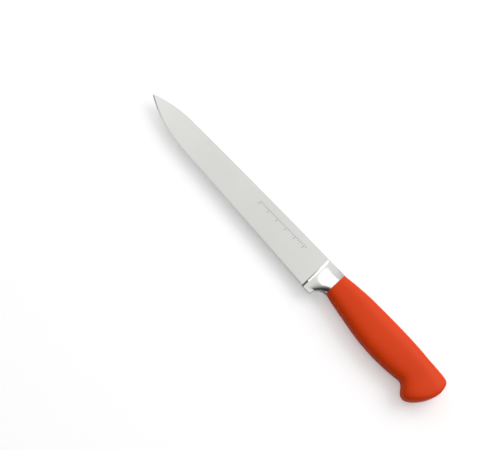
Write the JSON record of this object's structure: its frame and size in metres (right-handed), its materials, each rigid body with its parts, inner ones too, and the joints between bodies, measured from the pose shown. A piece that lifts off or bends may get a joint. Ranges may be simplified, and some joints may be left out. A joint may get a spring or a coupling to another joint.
{
  "type": "carving knife",
  "caption": "Long slim carving knife with a ground steel blade, a flared bolster with a finger notch and a hooked soft-grip handle, lying on its side.",
  "frame": {"origin": "centre of the neck, in the plane where the bolster meets the handle, on the blade's mid-plane", "axes": "+X from the tip towards the butt, +Y from the cutting edge towards the spine, +Z through the thickness, out of the side that faces up"},
  "size_m": [0.3332, 0.0377, 0.0194],
  "materials": {
    "blade_steel": "satin ground along the blade's height",
    "bolster_steel": "polished",
    "core_plastic": "moulded, hidden",
    "grip_skin": "fine matt soft-touch"
  },
  "bodies": {
    "root": {"blade": "blade_steel", "bolster": "bolster_steel", "handle_core": "core_plastic", "handle_grip": "grip_skin"}
  },
  "joints": []
}
